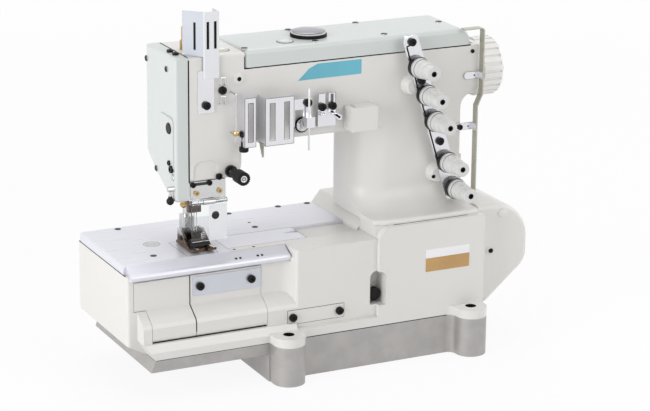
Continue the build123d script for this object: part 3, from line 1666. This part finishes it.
def pulley_cover_side(inset):
    # Outline seen from the right end, with the back falling away in a large round
    front = front_y + pulley_cover_front_set + inset
    back = front_y + pulley_cover_back_set - inset
    corners = rectangle(front, back, pulley_cover_bottom_z + inset, pulley_cover_top_z - inset)
    return corners, [0, pulley_cover_low_round, pulley_cover_back_round - inset, 0]


def make_pulley_cover():
    front = front_y + pulley_cover_front_set
    back = front_y + pulley_cover_back_set
    corners, radii = pulley_cover_outline(0.0)
    cover = along_y(corners, front, back, radii)
    edges = [edge for edge in cover.faces().sort_by(Axis.Y)[0].outer_wire().edges()
             if edge.center().X > right_x + overrun]
    cover = fillet(edges, pulley_cover_edge_round)
    far = right_x + pulley_cover_right
    corners, radii = pulley_cover_side(0.0)
    cover &= along_x(corners, right_x, far + overrun, radii)
    corners, radii = pulley_cover_outline(pulley_cover_wall)
    inner = [(x if x > right_x + overrun else right_x - overrun, z) for x, z in corners]
    hollow = along_y(inner, front + pulley_cover_wall, back - pulley_cover_wall, radii)
    corners, radii = pulley_cover_side(pulley_cover_wall)
    cover -= hollow & along_x(corners, right_x - overrun, far, radii)
    mid = right_x + drive_pulley_inset + drive_pulley_width / 2
    return cover - block(mid - belt_slot_width / 2, mid + belt_slot_width / 2, shaft_y - belt_slot_half,
                         shaft_y + belt_slot_half, pulley_cover_bottom_z - overrun,
                         lower_shaft_z - drive_pulley_radius)


# Looper

def make_rocker_pin():
    y = front_y + back_web_set
    start = front_y + rocker_set - rocker_width / 2 - overrun
    return rod_y(left_x + rocker_inset, start, y + web_thick, rocker_z, rocker_pin_radius)


def make_looper_rocker():
    x = left_x + rocker_inset
    y0 = front_y + rocker_set - rocker_width / 2
    y1 = y0 + rocker_width
    rocker = rod_y(x, y0, y1, rocker_z, rocker_radius)
    rocker += block(x - rocker_arm_width / 2, x + rocker_arm_width / 2, y0, y1, rocker_z,
                    rocker_z + rocker_arm_height)
    return rocker - rod_y(x, y0 - overrun, y1 + overrun, rocker_z, rocker_pin_radius + running_fit)


def make_looper():
    x1 = left_x + rocker_inset - rocker_arm_width / 2
    tip = left_x + looper_tip_inset
    top = rocker_z + rocker_arm_height
    y0 = front_y + rocker_set - looper_thick / 2
    corners = [(x1, top), (x1, top - looper_height * 2), (x1 - looper_height, top - looper_height * 2),
               (x1 - looper_height, top - looper_height), (tip, top - looper_drop),
               (tip, top - looper_drop + looper_point)]
    return along_y(corners, y0, y0 + looper_thick)


def main():
    os.makedirs("parts", exist_ok=True)
    save("oil_pan", make_oil_pan())
    save("bed_casting", make_bed_casting())
    save("push_button", make_push_button())
    save("side_plate", make_side_plate())
    save("cloth_plate", make_cloth_plate())
    save_group("steel_screws", make_table_screws() + make_top_screws() + make_face_screws()
               + [make_table_plug()])
    save("slide_plate", make_slide_plate())
    save("needle_plate", make_needle_plate())
    save("feed_dog", make_feed_dog())
    save("front_edge_bar", make_front_edge_bar())
    save("left_front_cover", make_left_cover())
    save("right_front_cover", make_front_cover(*cover_spans()[1]))
    save_group("hinge_pins", [make_hinge_pin(), make_rocker_pin()])
    save("cover_strip", make_cover_strip())
    save_group("cover_screws", make_cover_screws())
    save("arm_casting", make_arm_casting())
    save("face_cover", make_face_cover())
    save("arm_top_cover", make_top_cover())
    save("oil_window", make_oil_window())
    upper = make_bushes((left_x + arm_web_inset, right_x + arm_right - arm_wall), upper_shaft_z)
    lower = make_bushes((left_x + web_inset, right_x - bed_wall), lower_shaft_z)
    save_group("bearing_bushes", upper + lower + make_bar_bushes())
    save("upper_shaft", make_upper_shaft())
    save("needle_crank", make_crank())
    save("needle_link", make_link())
    save("upper_belt_wheel", make_belt_wheel(upper_shaft_z))
    save("lower_belt_wheel", make_belt_wheel(lower_shaft_z))
    save("timing_belt", make_timing_belt())
    save("lower_shaft", make_lower_shaft())
    save("drive_pulley", make_drive_pulley())
    save("handwheel", make_handwheel())
    save("needle_bar", make_needle_bar())
    save("needle_driver", make_needle_driver())
    save("needle_clamp", make_needle_clamp())
    save_group("needles", [make_needle(x) for x in needle_places()])
    save("thread_take_up", make_take_up())
    save("presser_bar", make_presser_bar())
    save("presser_regulator", make_regulator())
    save("presser_foot", make_presser_foot())
    save("eye_guard_holder", make_guard_holder())
    save("eye_guard", make_eye_guard())
    save("small_lever", make_small_lever())
    save_group("brass_screws", make_brass_screws())
    save("spreader_knob", make_spreader_knob())
    save("tension_bracket", make_tension_bracket())
    save_group("tension_posts", make_tension_posts() + [make_spreader_post()])
    save_group("tension_discs", make_tension_discs() + make_spreader_discs())
    for number, place in enumerate(tension_places(), 1):
        save(f"tension_knob_{number}", make_tension_knob(*place))
    save_group("black_screws", make_bracket_screws() + make_guide_screws() + make_side_screws()
               + [make_face_plug()])
    save_group("guide_plates", [make_guide_one(), make_guide_two()])
    save_group("guide_wires", [make_guide_rod()] + make_thread_hooks())
    save_group("guide_brackets", [make_guide_clip(), make_eyelet_bracket()])
    save("guide_box", make_guide_box())
    save("take_up_base", make_base_plate())
    save("take_up_guard", make_take_up_guard())
    save("strip_guard", make_strip_guard())
    save("pulley_cover", make_pulley_cover())
    save("looper_rocker", make_looper_rocker() + make_looper())


main()
